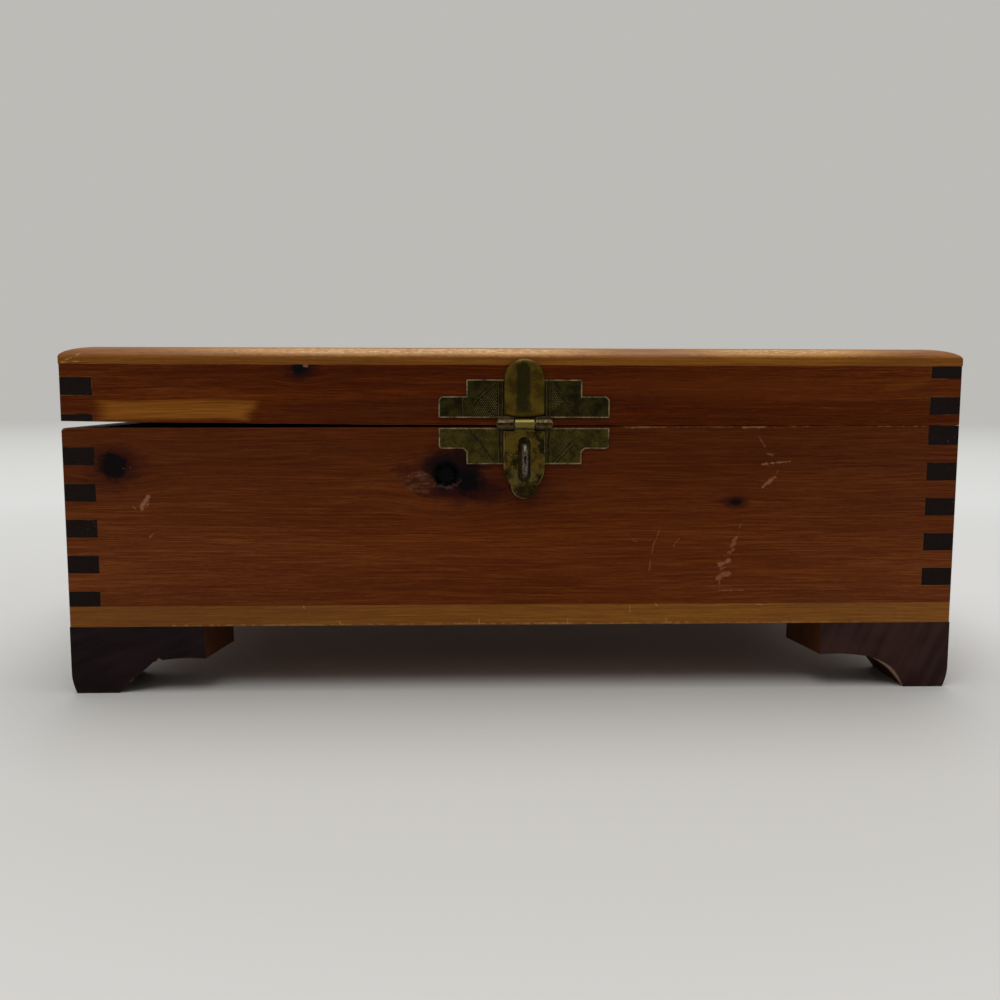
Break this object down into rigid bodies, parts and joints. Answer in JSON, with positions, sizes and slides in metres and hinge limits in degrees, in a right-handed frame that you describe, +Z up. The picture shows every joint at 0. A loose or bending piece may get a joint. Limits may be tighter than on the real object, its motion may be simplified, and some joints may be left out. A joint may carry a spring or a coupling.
{
  "type": "keepsake box",
  "caption": "Cedar keepsake box with finger-jointed walls, bracket feet, a hinged lid with a rounded-over top and a brass hasp that closes over a staple.",
  "frame": {"origin": "on the floor, under the middle of the whole box with its hasp and hinges", "axes": "+X along the front to the viewer's right, +Y from the front to the back, +Z up"},
  "size_m": [0.254, 0.1614, 0.0985],
  "materials": {
    "red_cedar": "satin varnish over red-brown cedar with dark end grain",
    "honey_cedar": "satin varnish over honey-coloured cedar",
    "dark_wood": "dark brown stain, satin",
    "aged_brass": "aged brass, dark in the hollows and rubbed bright on the edges",
    "grey_steel": "dull grey steel wire"
  },
  "bodies": {
    "body": {"front_board": "red_cedar", "back_board": "red_cedar", "left_end_board": "red_cedar", "right_end_board": "red_cedar", "bottom_board": "honey_cedar", "front_left_foot": "dark_wood", "front_right_foot": "dark_wood", "back_left_foot": "dark_wood", "back_right_foot": "dark_wood", "hasp_body_plate": "aged_brass", "left_hinge_body_leaf": "aged_brass", "left_hinge_pin": "aged_brass", "right_hinge_body_leaf": "aged_brass", "right_hinge_pin": "aged_brass", "body_hinge_screws": "aged_brass", "hasp_staple": "grey_steel", "foot_brads": "grey_steel", "bottom_brads": "grey_steel"},
    "lid": {"lid_front_rail": "red_cedar", "lid_back_rail": "red_cedar", "lid_left_rail": "red_cedar", "lid_right_rail": "red_cedar", "lid_top_board": "honey_cedar", "left_hinge_lid_leaf": "aged_brass", "right_hinge_lid_leaf": "aged_brass", "lid_hinge_screws": "aged_brass", "hasp_lid_plate": "aged_brass", "hasp_pin": "aged_brass"},
    "flap": {"hasp_flap": "aged_brass"}
  },
  "joints": [
    {"name": "lid_hinge", "type": "hinge", "parent": "body", "child": "lid", "pos_m": [0, 0.07908, 0.07645], "axis": [-1, 0, 0], "range_deg": [0, 180]},
    {"name": "flap_hinge", "type": "hinge", "parent": "lid", "child": "flap", "pos_m": [0.002, -0.07677, 0.077], "axis": [-1, 0, 0], "range_deg": [0, 175]}
  ]
}
